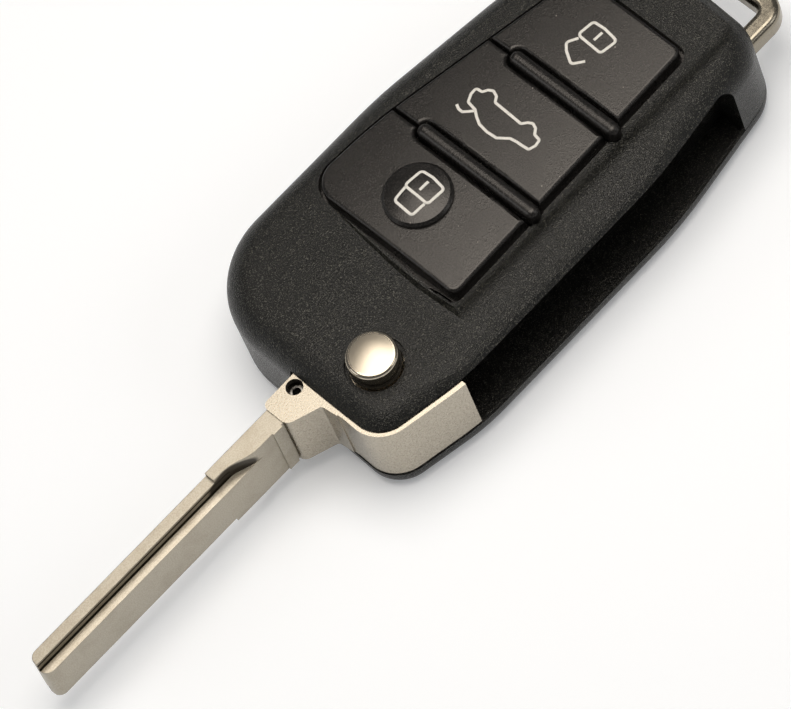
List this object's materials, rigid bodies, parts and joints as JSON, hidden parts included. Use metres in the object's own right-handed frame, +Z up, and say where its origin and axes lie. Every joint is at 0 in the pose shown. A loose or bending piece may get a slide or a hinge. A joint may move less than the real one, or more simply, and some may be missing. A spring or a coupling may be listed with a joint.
{
  "type": "flip key fob",
  "caption": "Remote key fob: a black case with lock, boot and unlock buttons and a metal key blade that flips out of the case's side on a sprung pivot.",
  "frame": {"origin": "under the blade's pivot, on the flat back face that the fob rests on", "axes": "+X along the open blade to its tip, +Y to the long side that the blade folds into, +Z up, the way the buttons face"},
  "size_m": [0.1178, 0.0358, 0.0175],
  "materials": {
    "black_shell": "fine moulded grain",
    "button_coat": "satin soft-touch lacquer",
    "inner_plastic": "plain moulded",
    "silicone": "matt",
    "board_laminate": "solder mask over laminate",
    "switch_metal": "stamped can",
    "chip_epoxy": "moulded epoxy",
    "ferrite": "ground ferrite with winding",
    "cell_steel": "pressed can",
    "spring_steel": "bright drawn",
    "bright_nickel": "nickel plate, satin bright",
    "satin_nickel": "nickel plate over a die casting"
  },
  "bodies": {
    "case": {"front_shell": "black_shell", "back_shell": "black_shell", "inner_carrier": "inner_plastic", "button_frame": "button_coat", "seal_mat": "silicone", "circuit_board": "board_laminate", "switch_lock": "switch_metal", "switch_boot": "switch_metal", "switch_unlock": "switch_metal", "control_chip": "chip_epoxy", "crystal": "switch_metal", "antenna_coil": "ferrite", "transponder": "chip_epoxy", "coin_cell": "cell_steel", "battery_clip_plus": "spring_steel", "battery_clip_minus": "spring_steel", "case_screw": "spring_steel", "ring_bail": "bright_nickel"},
    "key_blade": {"blade": "bright_nickel", "blade_head": "satin_nickel", "roll_pin": "spring_steel"},
    "release_button": {"release_cap": "bright_nickel", "release_shaft": "spring_steel", "flip_spring": "spring_steel"},
    "lock_button": {"button_lock": "button_coat"},
    "boot_button": {"button_boot": "button_coat"},
    "unlock_button": {"button_unlock": "button_coat"}
  },
  "joints": [
    {"name": "blade_flip", "type": "hinge", "parent": "case", "child": "key_blade", "pos_m": [0, 0, 0.008], "axis": [0, 0, 1], "range_deg": [0, 180], "stiffness_Nm_per_rad": 0.01, "springref_deg": -85.94},
    {"name": "release_press", "type": "slide", "parent": "key_blade", "child": "release_button", "axis": [0, 0, -1], "range_m": [0, 0.0022], "stiffness_N_per_m": 800, "springref_m": -0.003, "deforming": ["flip_spring"]},
    {"name": "lock_press", "type": "slide", "parent": "case", "child": "lock_button", "axis": [0, 0, -1], "range_m": [0, 0.0005], "stiffness_N_per_m": 200, "springref_m": -0.002},
    {"name": "boot_press", "type": "slide", "parent": "case", "child": "boot_button", "axis": [0, 0, -1], "range_m": [0, 0.0005], "stiffness_N_per_m": 200, "springref_m": -0.002},
    {"name": "unlock_press", "type": "slide", "parent": "case", "child": "unlock_button", "axis": [0, 0, -1], "range_m": [0, 0.0005], "stiffness_N_per_m": 200, "springref_m": -0.002}
  ]
}
